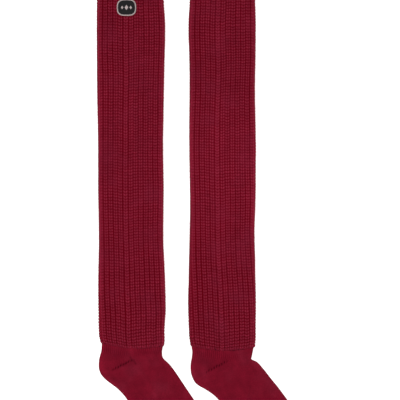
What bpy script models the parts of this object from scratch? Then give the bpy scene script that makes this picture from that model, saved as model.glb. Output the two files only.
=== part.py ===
"""A pair of over-the-knee hiking socks, laid flat side by side.

Each sock is one heavily ribbed leg tube and one finely knitted foot tube. Both tubes
are flattened, so that the face on top lies on the face below, with the heel at the
side. The left sock carries a small sewn badge near its cuff.

Metres, +Z up. The socks rest on z = 0 with their cuffs towards +Y, and the origin is
under the middle of the pair's box. A sock is laid out from its ankle point, the middle
of the line where the rib ends and the foot begins.
"""
import math
from collections import namedtuple

import bmesh
import bpy
from mathutils import Vector

MM = 0.001

# Knit
LEG_WALL = 3.2 * MM
FOOT_WALL = 2.0 * MM
FACE_GAP = 0.8 * MM
SEAM_GAP = 0.3 * MM
SEAM_STEP = 1.2 * MM

# Foot beyond the heel
FOOT_LENGTH = 235.0 * MM
TOE_ROUND = 62.0 * MM
TOE_POWER = 2.5
FOOT_SPANS = 3
TOE_STATIONS = (40 * MM, 24 * MM, 13 * MM, 6 * MM, 2 * MM, 0.4 * MM)
INNER_TOE_STATION = 10 * MM

# Facets round a flattened tube
FLAT_SPANS = 5
SIDE_SPANS = 4

# Badge
BADGE_CENTRE = Vector((-8.2 * MM, 506.0 * MM))
BADGE_LENGTH = 29.0 * MM
BADGE_HEIGHT = 25.0 * MM
BADGE_POWER = 3.0
BADGE_EDGE = 2.4 * MM
BADGE_EDGE_THICK = 1.5 * MM
BADGE_GROUND_THICK = 0.9 * MM
BADGE_POINTS = 36

# Where the right sock's ankle point lies from the left one's
PAIR_STEP = Vector((136.2 * MM, -4.5 * MM))

LegRow = namedtuple("LegRow", "height back front drop")
HeelRow = namedtuple("HeelRow", "back_x back_y front_x front_y")
Section = namedtuple("Section", "back front thick")
Sock = namedtuple("Sock", "name ankle leg heel heel_corner foot_angle")

# Millimetres from the ankle point. A leg row is level: its height, the back and the front
# edge of the flat leg, and how far the front edge hangs below the back edge.
LEFT_LEG = (
    LegRow(541.5, -51.6, 46.5, 0.0),
    LegRow(517.5, -52.1, 47.0, 0.0),
    LegRow(481.5, -52.6, 49.2, 0.0),
    LegRow(427.5, -52.4, 48.3, 0.0),
    LegRow(367.5, -51.8, 47.2, 0.0),
    LegRow(307.5, -50.6, 46.2, 0.0),
    LegRow(232.5, -50.4, 47.0, 0.0),
    LegRow(157.5, -49.5, 46.6, 0.0),
    LegRow(85.5, -50.5, 49.4, 0.0),
    LegRow(49.5, -49.9, 50.0, 0.0),
    LegRow(19.5, -49.2, 48.3, 0.0),
    LegRow(9.0, -48.1, 48.5, 3.0),
    LegRow(2.2, -46.1, 47.4, 4.9),
)
RIGHT_LEG = (
    LegRow(543.0, -49.2, 48.1, 0.0),
    LegRow(522.0, -49.2, 48.3, 0.0),
    LegRow(486.0, -51.0, 48.9, 0.0),
    LegRow(432.0, -49.5, 48.6, 0.0),
    LegRow(396.0, -49.4, 48.0, 0.0),
    LegRow(312.0, -49.7, 49.3, 0.0),
    LegRow(216.0, -48.6, 48.6, 0.0),
    LegRow(174.0, -49.1, 47.2, 0.0),
    LegRow(126.0, -50.2, 48.6, 0.0),
    LegRow(72.0, -51.6, 49.3, 0.0),
    LegRow(30.0, -50.4, 49.2, 0.0),
    LegRow(12.0, -49.2, 48.8, 1.5),
    LegRow(2.1, -47.2, 47.7, 1.8),
)

# A heel row is one fold line of the fan that turns the foot: its end at the back of the
# heel and its end at the instep.
LEFT_HEEL = (
    HeelRow(-45.1, -7.5, 45.0, -9.8),
    HeelRow(-47.4, -17.2, 44.9, -14.2),
    HeelRow(-48.8, -27.0, 45.5, -18.0),
    HeelRow(-48.6, -36.8, 46.8, -21.0),
    HeelRow(-45.1, -45.9, 48.9, -23.1),
    HeelRow(-39.0, -52.8, 51.3, -25.2),
    HeelRow(-30.6, -59.2, 54.0, -27.8),
    HeelRow(-22.5, -65.0, 57.1, -31.0),
    HeelRow(-11.1, -76.5, 66.0, -43.0),
    HeelRow(-4.5, -86.2, 73.5, -54.3),
)
RIGHT_HEEL = (
    HeelRow(-44.9, -6.8, 44.8, -8.2),
    HeelRow(-45.5, -14.2, 43.8, -13.8),
    HeelRow(-46.8, -21.8, 43.2, -17.4),
    HeelRow(-47.2, -29.2, 46.4, -19.2),
    HeelRow(-46.8, -36.8, 50.1, -20.8),
    HeelRow(-44.7, -45.0, 53.7, -23.7),
    HeelRow(-41.2, -51.9, 56.7, -26.8),
    HeelRow(-34.4, -57.8, 59.7, -30.5),
    HeelRow(-26.2, -62.2, 63.0, -34.3),
    HeelRow(-11.4, -72.2, 72.9, -47.1),
    HeelRow(-5.4, -78.5, 79.8, -55.5),
)

SOCKS = (
    Sock("left", Vector((0.0, 0.0)), LEFT_LEG, LEFT_HEEL, Vector((-48 * MM, -39 * MM)), 33.7),
    Sock("right", PAIR_STEP, RIGHT_LEG, RIGHT_HEEL, Vector((-45.5 * MM, -42 * MM)), 37.0),
)


def leg_thick():
    """Height of the flattened leg: two walls and the gap between them."""
    return 2 * LEG_WALL + FACE_GAP


def foot_thick():
    """Height of the flattened foot."""
    return 2 * FOOT_WALL + FACE_GAP


def clear_scene():
    """Remove what the new file starts with."""
    for item in list(bpy.data.objects):
        bpy.data.objects.remove(item, do_unlink=True)


def linear(channel):
    """One 8-bit display value as the linear value that a material takes."""
    value = channel / 255
    return value / 12.92 if value <= 0.04045 else ((value + 0.055) / 1.055) ** 2.4


def cloth_material(name, display_colour, roughness):
    """A plain Principled cloth of one display colour."""
    material = bpy.data.materials.new(name)
    material.use_nodes = True
    shader = material.node_tree.nodes["Principled BSDF"]
    colour = [linear(channel) for channel in display_colour] + [1.0]
    shader.inputs["Base Color"].default_value = colour
    shader.inputs["Roughness"].default_value = roughness
    shader.inputs["Metallic"].default_value = 0.0
    material.diffuse_color = colour
    return material


def leg_sections(sock):
    """The leg's sections, cuff first."""
    sections = []
    for row in sock.leg:
        back = Vector((row.back * MM, row.height * MM))
        front = Vector((row.front * MM, (row.height - row.drop) * MM))
        sections.append(Section(back, front, leg_thick()))
    return sections


def seam_section(sock):
    """The foot's first section: the rib's end, moved off by the seam gap and drawn in."""
    last = leg_sections(sock)[-1]
    along = (last.front - last.back).normalized()
    down = Vector((along.y, -along.x))
    back = last.back + down * SEAM_GAP + along * SEAM_STEP
    front = last.front + down * SEAM_GAP - along * SEAM_STEP
    return Section(back, front, foot_thick())


def toe_width(distance):
    """Share of the foot's full width at a distance from the toe's tip, a superellipse."""
    reach = 1 - min(distance / TOE_ROUND, 1)
    return (1 - reach ** TOE_POWER) ** (1 / TOE_POWER)


def toe_height(distance):
    """Share of the foot's full height there, round like a pipe's end."""
    reach = 1 - min(distance / (foot_thick() / 2), 1)
    return math.sqrt(1 - reach ** 2)


def foot_sections(sock):
    """The foot's sections: seam, heel fan, straight foot, then the round toe."""
    sections = [seam_section(sock)]
    for row in sock.heel:
        back = Vector((row.back_x * MM, row.back_y * MM))
        front = Vector((row.front_x * MM, row.front_y * MM))
        sections.append(Section(back, front, foot_thick()))
    angle = math.radians(sock.foot_angle)
    ahead = Vector((math.sin(angle), -math.cos(angle)))
    across = Vector((math.cos(angle), math.sin(angle)))
    last = sections[-1]
    tip = sock.heel_corner.dot(ahead) + FOOT_LENGTH
    ball = tip - TOE_ROUND
    back_side, front_side = last.back.dot(across), last.front.dot(across)
    for span in range(1, FOOT_SPANS + 1):
        share = span / FOOT_SPANS
        back_reach = last.back.dot(ahead) * (1 - share) + ball * share
        front_reach = last.front.dot(ahead) * (1 - share) + ball * share
        back = ahead * back_reach + across * back_side
        front = ahead * front_reach + across * front_side
        sections.append(Section(back, front, foot_thick()))
    middle = (back_side + front_side) / 2
    half = (front_side - back_side) / 2
    for distance in TOE_STATIONS:
        centre = ahead * (tip - distance) + across * middle
        side = across * (half * toe_width(distance))
        sections.append(Section(centre - side, centre + side, foot_thick() * toe_height(distance)))
    return sections, tip


def flat_ring(section, full_thick, inset):
    """Points round one flattened section, a long slot shape, moved in by the inset.

    The ring runs along the underside, up the front side, back along the top and down
    the back side. The sides are half circles.
    """
    width = (section.front - section.back).length
    along = (section.front - section.back) / width
    radius = max(section.thick / 2 - inset, 0.1 * MM)
    middle = full_thick / 2
    start = section.thick / 2
    stop = width - start
    points = []
    for step in range(FLAT_SPANS):
        points.append((start + (stop - start) * step / FLAT_SPANS, middle - radius))
    for step in range(SIDE_SPANS):
        turn = -math.pi / 2 + math.pi * step / SIDE_SPANS
        points.append((stop + radius * math.cos(turn), middle + radius * math.sin(turn)))
    for step in range(FLAT_SPANS):
        points.append((stop - (stop - start) * step / FLAT_SPANS, middle + radius))
    for step in range(SIDE_SPANS):
        turn = math.pi / 2 + math.pi * step / SIDE_SPANS
        points.append((start + radius * math.cos(turn), middle + radius * math.sin(turn)))
    ring = []
    for reach, height in points:
        place = section.back + along * reach
        ring.append(Vector((place.x, place.y, height)))
    return ring


def add_ring(mesh, points, ankle):
    """Put a ring's points into the mesh at the sock's place."""
    shift = Vector((ankle.x, ankle.y, 0.0))
    return [mesh.verts.new(point + shift) for point in points]


def bridge(mesh, first, second):
    """Join two rings of the same count with a band of faces."""
    count = len(first)
    for index in range(count):
        after = (index + 1) % count
        mesh.faces.new((first[index], first[after], second[after], second[index]))


def loft(mesh, rings):
    """Join a row of rings into a tube."""
    for first, second in zip(rings, rings[1:]):
        bridge(mesh, first, second)


def finish_piece(name, mesh, material, collection):
    """Make the piece's object, with its faces pointing out."""
    bmesh.ops.recalc_face_normals(mesh, faces=mesh.faces)
    data = bpy.data.meshes.new(name)
    mesh.to_mesh(data)
    mesh.free()
    data.materials.append(material)
    data.shade_smooth()
    data.set_sharp_from_angle(angle=math.radians(50))
    piece = bpy.data.objects.new(name, data)
    collection.objects.link(piece)
    return piece


def build_leg(sock, material, collection):
    """The ribbed leg: an outer and an inner tube, joined round the cuff and the ankle."""
    mesh = bmesh.new()
    outer = []
    inner = []
    for section in leg_sections(sock):
        outer.append(add_ring(mesh, flat_ring(section, leg_thick(), 0.0), sock.ankle))
        inner.append(add_ring(mesh, flat_ring(section, leg_thick(), LEG_WALL), sock.ankle))
    loft(mesh, outer)
    loft(mesh, inner)
    bridge(mesh, outer[0], inner[0])
    bridge(mesh, outer[-1], inner[-1])
    return finish_piece(sock.name + "_leg", mesh, material, collection)


def build_foot(sock, material, collection):
    """The foot: open where it meets the leg and closed at the toe, inside and out."""
    mesh = bmesh.new()
    sections, tip = foot_sections(sock)
    angle = math.radians(sock.foot_angle)
    ahead = Vector((math.sin(angle), -math.cos(angle)))
    outer = [add_ring(mesh, flat_ring(item, foot_thick(), 0.0), sock.ankle) for item in sections]
    inner = []
    for section in sections:
        if section.back.dot(ahead) <= tip - INNER_TOE_STATION:
            inner.append(add_ring(mesh, flat_ring(section, foot_thick(), FOOT_WALL), sock.ankle))
    loft(mesh, outer)
    loft(mesh, inner)
    bridge(mesh, outer[0], inner[0])
    mesh.faces.new(outer[-1])
    mesh.faces.new(inner[-1])
    return finish_piece(sock.name + "_foot", mesh, material, collection)


def badge_outline(inset):
    """The badge's rounded outline, a superellipse, drawn in by the inset."""
    points = []
    for index in range(BADGE_POINTS):
        turn = 2 * math.pi * index / BADGE_POINTS
        wide = math.copysign(abs(math.cos(turn)) ** (2 / BADGE_POWER), math.cos(turn))
        high = math.copysign(abs(math.sin(turn)) ** (2 / BADGE_POWER), math.sin(turn))
        x = BADGE_CENTRE.x + (BADGE_LENGTH / 2 - inset) * wide
        y = BADGE_CENTRE.y + (BADGE_HEIGHT / 2 - inset) * high
        points.append(Vector((x, y, 0.0)))
    return points


def raised(points, height):
    """The same outline at a height."""
    return [Vector((point.x, point.y, height)) for point in points]


def build_badge_edge(sock, material, collection):
    """The badge's thick stitched edge, a closed band round the ground cloth."""
    mesh = bmesh.new()
    low = leg_thick() + SEAM_GAP
    high = low + BADGE_EDGE_THICK
    loops = (
        raised(badge_outline(0.0), low),
        raised(badge_outline(0.0), low + 0.6 * BADGE_EDGE_THICK),
        raised(badge_outline(BADGE_EDGE / 2), high),
        raised(badge_outline(BADGE_EDGE), low + 0.6 * BADGE_EDGE_THICK),
        raised(badge_outline(BADGE_EDGE), low),
    )
    rings = [add_ring(mesh, points, sock.ankle) for points in loops]
    loft(mesh, rings)
    bridge(mesh, rings[-1], rings[0])
    return finish_piece(sock.name + "_badge_edge", mesh, material, collection)


def build_badge_ground(sock, material, collection):
    """The badge's flat ground cloth, inside its edge."""
    mesh = bmesh.new()
    low = leg_thick() + SEAM_GAP
    outline = badge_outline(BADGE_EDGE + SEAM_GAP)
    rings = [add_ring(mesh, raised(outline, low), sock.ankle)]
    rings.append(add_ring(mesh, raised(outline, low + BADGE_GROUND_THICK), sock.ankle))
    loft(mesh, rings)
    mesh.faces.new(rings[0])
    mesh.faces.new(rings[1])
    return finish_piece(sock.name + "_badge_ground", mesh, material, collection)


def centre_on_origin(pieces):
    """Place the pieces so that the origin is under the middle of their common box."""
    xs = [vertex.co.x for piece in pieces for vertex in piece.data.vertices]
    ys = [vertex.co.y for piece in pieces for vertex in piece.data.vertices]
    for piece in pieces:
        piece.location = (-(min(xs) + max(xs)) / 2, -(min(ys) + max(ys)) / 2, 0.0)


def main():
    """Build the pair."""
    clear_scene()
    collection = bpy.data.collections.new("hiking_socks")
    bpy.context.scene.collection.children.link(collection)
    rib_wool = cloth_material("rib_wool", (110, 18, 36), 0.9)
    foot_wool = cloth_material("foot_wool", (114, 18, 37), 0.9)
    badge_cloth = cloth_material("badge_cloth", (24, 22, 24), 0.75)
    badge_thread = cloth_material("badge_thread", (206, 204, 198), 0.6)
    pieces = []
    for sock in SOCKS:
        pieces.append(build_leg(sock, rib_wool, collection))
        pieces.append(build_foot(sock, foot_wool, collection))
    left = SOCKS[0]
    pieces.append(build_badge_edge(left, badge_thread, collection))
    pieces.append(build_badge_ground(left, badge_cloth, collection))
    centre_on_origin(pieces)


main()
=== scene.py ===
"""Looks of a pair of over-the-knee hiking socks, laid flat side by side on a white table.

Each sock is a thick half-cardigan rib leg and a fine plain-knit foot, dressed on the
frame's solids. A sock is laid out in millimetres from its ankle point, the middle of the
line where the rib ends, with the cuff towards +Y and the toes down and to the right.
"""
import logging
import math
from dataclasses import dataclass, field, replace
from enum import Enum
from functools import cached_property
from typing import NamedTuple

import bmesh
import bpy
import numpy as np
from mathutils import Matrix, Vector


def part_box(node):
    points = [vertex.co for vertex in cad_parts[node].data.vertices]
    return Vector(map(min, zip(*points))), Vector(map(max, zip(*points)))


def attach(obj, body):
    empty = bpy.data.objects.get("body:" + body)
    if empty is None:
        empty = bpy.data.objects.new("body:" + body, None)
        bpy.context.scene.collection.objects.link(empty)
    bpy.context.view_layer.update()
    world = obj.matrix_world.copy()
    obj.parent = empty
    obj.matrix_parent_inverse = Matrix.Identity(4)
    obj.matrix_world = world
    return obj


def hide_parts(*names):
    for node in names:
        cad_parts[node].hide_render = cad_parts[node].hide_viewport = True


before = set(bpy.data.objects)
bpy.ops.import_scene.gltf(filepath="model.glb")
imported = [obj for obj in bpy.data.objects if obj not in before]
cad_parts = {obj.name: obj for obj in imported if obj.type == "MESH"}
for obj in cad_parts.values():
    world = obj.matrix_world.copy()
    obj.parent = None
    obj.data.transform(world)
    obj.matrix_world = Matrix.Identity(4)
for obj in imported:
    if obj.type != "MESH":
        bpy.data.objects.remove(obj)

Array = np.ndarray
Point = tuple[float, float]
Colour = tuple[float, float, float]
Material = bpy.types.Material
Mesh = bpy.types.Mesh
Piece = bpy.types.Object
Socket = bpy.types.NodeSocket

LOG = logging.getLogger("hiking_socks")
MM = 0.001
FULL_TURN = 2 * math.pi
PHOTO_PIXEL = 1.5 * MM
PHOTO_SIDE = 400


def smooth_step(value: Array, low: float = 0.0, high: float = 1.0) -> Array:
    """Rise from 0 to 1 as the value goes from low to high: 3v squared less 2v cubed."""
    share = np.clip((value - low) / (high - low), 0.0, 1.0)
    return share * share * (3.0 - 2.0 * share)


def bell(distance: Array, width: float) -> Array:
    """Bell of height 1 round nothing: exp(-(distance / width) squared)."""
    return np.exp(-((distance / width) ** 2))


def curve_through(knots: Array, values: Array, at: Array) -> Array:
    """Cubic curve through rows of values, straight beyond both ends.

    Each span is a cubic Hermite curve whose end slopes are the neighbours' slopes.

    Args:
        knots: Rising distances, one for each row.
        values: One row of numbers for each knot.
        at: Distances to read the curve at, of any shape.

    Returns:
        The values at those distances, with one more axis than at.
    """
    slopes = np.gradient(values, knots, axis=0)
    span = np.clip(np.searchsorted(knots, at, side="right") - 1, 0, len(knots) - 2)
    reach = (knots[span + 1] - knots[span])[..., None]
    share = (np.clip(at, knots[0], knots[-1]) - knots[span])[..., None] / reach
    square, cube = share**2, share**3
    curve = (
        (2 * cube - 3 * square + 1) * values[span]
        + (cube - 2 * square + share) * reach * slopes[span]
        + (3 * square - 2 * cube) * values[span + 1]
        + (cube - square) * reach * slopes[span + 1]
    )
    before = np.minimum(at - knots[0], 0.0)[..., None] * slopes[0]
    beyond = np.maximum(at - knots[-1], 0.0)[..., None] * slopes[-1]
    return curve + before + beyond


def profile_at(profile: tuple[Point, ...], at: Array) -> Array:
    """Value at each distance, on the cubic curve through pairs of distance and value."""
    pairs = np.array(profile)
    return curve_through(pairs[:, 0], pairs[:, 1:], at)[..., 0]


class Unevenness(NamedTuple):
    """A soft uneven field, between about -rise and rise."""

    rise: float
    size: float
    seed: int
    waves: int = 8

    def at(self, x: Array, y: Array) -> Array:
        """Read the field, a sum of sine waves of random directions, lengths and phases.

        Args:
            x: Places across, in millimetres.
            y: Places along, in millimetres.

        Returns:
            The field at each place.
        """
        source = np.random.default_rng(self.seed)
        total = np.zeros(np.broadcast(x, y).shape)
        for _ in range(self.waves):
            turn, phase = source.uniform(0.0, FULL_TURN, 2)
            pace = math.pi / (self.size * source.uniform(0.7, 1.5))
            total = total + np.sin(pace * (x * math.cos(turn) + y * math.sin(turn)) + phase)
        return self.rise * 2.0 * total / self.waves


class SockSide(Enum):
    """Which sock of the pair, by its place in the photo."""

    LEFT = "left"
    RIGHT = "right"


class EdgeRow(NamedTuple):
    """One line across the flat sock, in millimetres from the ankle point."""

    back_x: float
    back_y: float
    front_x: float
    front_y: float


class LegRow(NamedTuple):
    """One level line across the flat leg: height, both edges, and the front's drop."""

    height: float
    back: float
    front: float
    drop: float = 0.0


@dataclass(frozen=True)
class Crease:
    """A soft trough or ridge along a straight line on the upper face.

    Its height is a bell across the line, and it fades towards both ends. Its tone is painted light
    along a ridge and painted shade along a trough, in the same bell.
    """

    start: Point
    end: Point
    rise: float
    width: float
    # Painted light along a ridge above 0, painted shade along a trough below 0.
    tone: float = 0.0
    fade: float = 0.3

    def share(self, x: Array, y: Array) -> Array:
        """Share of the crease's full height at each place.

        Args:
            x: Places across, in millimetres from the ankle point.
            y: Places along, in the same units.

        Returns:
            The bell of the distance from the line, times a fade over both ends.
        """
        from_x, from_y = x - self.start[0], y - self.start[1]
        run_x, run_y = self.end[0] - self.start[0], self.end[1] - self.start[1]
        length = math.hypot(run_x, run_y)
        along = (from_x * run_x + from_y * run_y) / length**2
        across = (from_x * run_y - from_y * run_x) / length
        half = self.fade / 2
        ends = smooth_step(along, -half, half) * smooth_step(1 - along, -half, half)
        return bell(across, self.width) * ends


@dataclass(frozen=True)
class StitchLine:
    """A row of small slanted eyelets where the turned heel was fashioned."""

    start: Point
    end: Point
    eyelets: int
    lean: float
    depth: float = 1.4
    radius: float = 0.72
    reach: float = 2.0
    wobble: float = 0.5
    wobble_pace: float = 17.0
    faintest: float = 0.65

    def pits(self, x: Array, y: Array) -> Array:
        """Share of the eyelets' depth at each place, a long bell at every eyelet.

        Args:
            x: Places across, in millimetres from the ankle point.
            y: Places along, in the same units.

        Returns:
            The highest of the eyelets' bells, fainter at both ends of the row.
        """
        steps = np.linspace(0.0, 1.0, self.eyelets)
        shifts = self.wobble * np.sin(steps * self.wobble_pace)
        strengths = self.faintest + (1 - self.faintest) * np.sin(math.pi * steps)
        cos, sin = math.cos(math.radians(self.lean)), math.sin(math.radians(self.lean))
        deepest = np.zeros_like(x)
        for share, shift, strength in zip(steps, shifts, strengths):
            from_x = x - self.start[0] - (self.end[0] - self.start[0]) * share
            from_y = y - self.start[1] - (self.end[1] - self.start[1]) * share - shift
            along = bell(from_x * cos + from_y * sin, self.reach)
            across = bell(from_y * cos - from_x * sin, self.radius)
            deepest = np.maximum(deepest, strength * along * across)
        return deepest


@dataclass(frozen=True)
class SockPlan:
    """The plan of one flat sock, as it lies in the photo.

    The profiles of the rib's turn and of the leg's painted light are pairs of distance from the cuff
    and value; the painted light is a factor on the leg's colour.
    Grooves are depths, one before each rib of a face. The band is the length of the
    foot's fine rib, which fails at the rib gap and lingers along the rib trace.
    """

    side: SockSide
    leg_rows: tuple[LegRow, ...]
    heel_rows: tuple[EdgeRow, ...]
    heel_corner: Point
    foot_angle: float
    rib_turns: tuple[Point, ...]
    # Painted light along the leg: a factor on its colour, darker towards the ends.
    painted_leg_light: tuple[Point, ...]
    grooves: tuple[float, ...]
    plain_split: float
    plain_round: float
    sag: float
    band: float
    rib_gap: Crease
    rib_trace: Crease
    heel_line: StitchLine
    stitch_seed: int
    swell: Unevenness
    creases: tuple[Crease, ...]
    ankle: Array = field(default_factory=lambda: np.zeros(2))

    @property
    def name(self) -> str:
        """The word that starts this sock's node names."""
        return self.side.value


class FlatSection(NamedTuple):
    """Places on a flattened ring: across the flat sock, height, and the way out."""

    across: Array
    height: Array
    out_across: Array
    out_height: Array


def flat_section(width: Array, thick: Array, share: Array) -> FlatSection:
    """Place points round a flattened tube's section, a slot shape with half-round sides.

    Args:
        width: Full width of the section.
        thick: Full thickness of the section.
        share: 0 to 1 from the back side over the top to the front side, 1 to 2 back below.

    Returns:
        Distance from the back edge, height over the underside, and the outward direction.
    """
    radius = thick / 2
    turn = math.pi / 2
    face = width - thick + 2 * turn * radius
    share = np.mod(share, 2.0)
    above = share <= 1.0
    run = np.where(above, share, 2.0 - share) * face
    back_turn = np.clip(run / radius, 0.0, turn)
    front_turn = np.clip((face - run) / radius, 0.0, turn)
    straight = np.clip(run - turn * radius, 0.0, width - thick)
    across = radius * (1 - np.cos(back_turn)) + straight + radius * np.cos(front_turn)
    out_height = np.minimum(np.sin(back_turn), np.sin(front_turn)) * np.where(above, 1.0, -1.0)
    out_across = np.cos(front_turn) - np.cos(back_turn)
    return FlatSection(across, radius + radius * out_height, out_across, out_height)


def grid_mesh(
    name: str, points: Array, wrap_rows: bool = False, wrap_columns: bool = False
) -> Mesh:
    """Make a mesh from a grid of points, one quad for each cell.

    Args:
        name: The mesh's name.
        points: Rows by columns by 3, in metres.
        wrap_rows: Whether the last row joins the first.
        wrap_columns: Whether the last column joins the first.

    Returns:
        The mesh, shaded smooth.
    """
    rows, columns = points.shape[:2]
    row = np.arange(rows if wrap_rows else rows - 1)
    column = np.arange(columns if wrap_columns else columns - 1)
    row, column = np.meshgrid(row, column, indexing="ij")
    next_row, next_column = (row + 1) % rows, (column + 1) % columns
    corners = ((row, column), (next_row, column), (next_row, next_column), (row, next_column))
    quads = np.stack([down * columns + across for down, across in corners], -1)
    mesh = bpy.data.meshes.new(name)
    mesh.vertices.add(rows * columns)
    mesh.vertices.foreach_set("co", points.reshape(-1).astype(np.float32))
    mesh.loops.add(quads.size)
    mesh.loops.foreach_set("vertex_index", quads.reshape(-1).astype(np.int32))
    mesh.polygons.add(quads.size // 4)
    mesh.polygons.foreach_set("loop_start", np.arange(0, quads.size, 4, dtype=np.int32))
    mesh.polygons.foreach_set("use_smooth", np.ones(quads.size // 4, dtype=bool))
    mesh.update(calc_edges=True)
    return mesh


def add_knit_map(mesh: Mesh, wales: Array, courses: Array) -> None:
    """Give a grid mesh a UV map that counts wales and courses.

    Args:
        mesh: A mesh from grid_mesh, before any point is merged.
        wales: Wale count at each column, and one more value where the columns wrap.
        courses: Course count at each row, and one more value where the rows wrap.
    """
    cells_down, cells_across = len(courses) - 1, len(wales) - 1
    row, column = np.meshgrid(np.arange(cells_down), np.arange(cells_across), indexing="ij")
    u = np.stack([wales[column], wales[column], wales[column + 1], wales[column + 1]], -1)
    v = np.stack([courses[row], courses[row + 1], courses[row + 1], courses[row]], -1)
    layer = mesh.uv_layers.new(name="knit")
    layer.data.foreach_set("uv", np.stack([u, v], -1).reshape(-1).astype(np.float32))


def add_values(mesh: Mesh, name: str, values: Array) -> None:
    """Store one number for each point of a mesh, for its material to read."""
    layer = mesh.attributes.new(name, "FLOAT", "POINT")
    layer.data.foreach_set("value", values.reshape(-1).astype(np.float32))


def close_mesh(mesh: Mesh, merge: float = 0.01 * MM) -> None:
    """Merge points that coincide and turn all faces outwards.

    Args:
        mesh: The mesh to close.
        merge: Distance below which two points are one, in metres.
    """
    work = bmesh.new()
    work.from_mesh(mesh)
    bmesh.ops.remove_doubles(work, verts=work.verts, dist=merge)
    bmesh.ops.dissolve_degenerate(work, edges=work.edges, dist=merge)
    bmesh.ops.recalc_face_normals(work, faces=work.faces)
    work.to_mesh(mesh)
    work.free()


def add_piece(mesh: Mesh, material: Material) -> Piece:
    """Put a finished mesh into the scene as a piece of its name at the origin.

    Args:
        mesh: The mesh, in the frame's metres.
        material: What the piece is dressed in.

    Returns:
        The piece.
    """
    mesh.materials.append(material)
    piece = bpy.data.objects.new(mesh.name, mesh)
    bpy.context.scene.collection.objects.link(piece)
    LOG.info("%s: %d faces", piece.name, len(mesh.polygons))
    return piece


class NodeBoard:
    """Short calls for building one material's nodes."""

    def __init__(self, name: str) -> None:
        """Start a material with its Principled shader."""
        self.material = bpy.data.materials.new(name)
        self.material.use_nodes = True
        self.tree = self.material.node_tree
        self.shader = self.tree.nodes["Principled BSDF"]

    def node(self, kind: str, inputs: dict | None = None, **settings: str) -> bpy.types.Node:
        """Add a node.

        Args:
            kind: The node's type name, without its ShaderNode start.
            inputs: Input name or number to a value or to a socket to link.
            settings: The node's own properties.

        Returns:
            The new node.
        """
        node = self.tree.nodes.new("ShaderNode" + kind)
        for key, value in settings.items():
            setattr(node, key, value)
        for key, value in (inputs or {}).items():
            if isinstance(value, Socket):
                self.tree.links.new(value, node.inputs[key])
            else:
                node.inputs[key].default_value = value
        return node

    def math(self, operation: str, *values: Socket | float) -> Socket:
        """Result of a Math node on numbers or sockets."""
        return self.node("Math", dict(enumerate(values)), operation=operation).outputs[0]

    def plus(self, first: Socket, second: Socket | float) -> Socket:
        """Sum of two values."""
        return self.math("ADD", first, second)

    def times(self, first: Socket, second: Socket | float) -> Socket:
        """Product of two values."""
        return self.math("MULTIPLY", first, second)

    def ranged(self, value: Socket, rise: float, base: float) -> Socket:
        """A value times the rise, over the base."""
        return self.math("MULTIPLY_ADD", value, rise, base)

    def hump(self, turn: Socket) -> Socket:
        """Round humps between 0 and 1: the sine of a turn without its sign."""
        return self.math("ABSOLUTE", self.math("SINE", turn))

    def wave(self, turn: Socket) -> Socket:
        """Wave between 0 and 1: half the sine of a turn, and a half."""
        return self.ranged(self.math("SINE", turn), 0.5, 0.5)

    def point_value(self, name: str) -> Socket:
        """A number that the mesh stores for each point."""
        return self.node("Attribute", attribute_name=name).outputs["Fac"]

    def place(self) -> Socket:
        """Object coordinates."""
        return self.node("TexCoord").outputs["Object"]

    def parts(self, place: Socket) -> tuple[Socket, Socket]:
        """The first two numbers of a place."""
        node = self.node("SeparateXYZ", {0: place})
        return node.outputs[0], node.outputs[1]

    def knit_place(self) -> tuple[Socket, Socket]:
        """The course count, and the distance from the wale's middle line, 0 to 0.5."""
        wale, course = self.parts(self.node("UVMap", uv_map="knit").outputs[0])
        side = self.math("SUBTRACT", self.math("FRACT", wale), 0.5)
        return course, self.math("ABSOLUTE", side)

    def noise(self, place: Socket, scale: float, detail: float) -> Socket:
        """Noise between 0 and 1."""
        inputs = {"Vector": place, "Scale": scale, "Detail": detail}
        return self.node("TexNoise", inputs).outputs["Fac"]

    def blend(self, share: Socket, first: Socket | tuple, second: Socket | tuple) -> Socket:
        """Mix of two colours by a share."""
        return self.node("Mix", {0: share, 6: first, 7: second}, data_type="RGBA").outputs[2]

    def scaled(self, colour: Socket, share: Socket) -> Socket:
        """A colour made lighter or darker by a factor."""
        inputs = {0: colour, "Scale": share}
        return self.node("VectorMath", inputs, operation="SCALE").outputs[0]

    def bump(self, height: Socket, strength: float, distance: float) -> None:
        """Drive the shader's normal from a height."""
        inputs = {"Height": height, "Strength": strength, "Distance": distance}
        self.tree.links.new(self.node("Bump", inputs).outputs[0], self.shader.inputs["Normal"])

    def finish(self, colour: Socket, **values: float | tuple) -> Material:
        """Link the colour and set the shader's plain values.

        Args:
            colour: The base colour.
            values: The shader's other inputs by name, with _ for a space.

        Returns:
            The finished material.
        """
        self.tree.links.new(colour, self.shader.inputs["Base Color"])
        for key, value in values.items():
            self.shader.inputs[key.replace("_", " ")].default_value = value
        return self.material


def linear(red: float, green: float, blue: float) -> tuple[float, float, float, float]:
    """Turn a display colour into the linear colour that a shader takes.

    Args:
        red: Red, 0 to 255.
        green: Green, 0 to 255.
        blue: Blue, 0 to 255.

    Returns:
        Linear red, green, blue and a full alpha.
    """
    share = np.array([red, green, blue]) / 255.0
    low, high = share / 12.92, ((share + 0.055) / 1.055) ** 2.4
    return (*np.where(share <= 0.04045, low, high).tolist(), 1.0)


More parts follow.
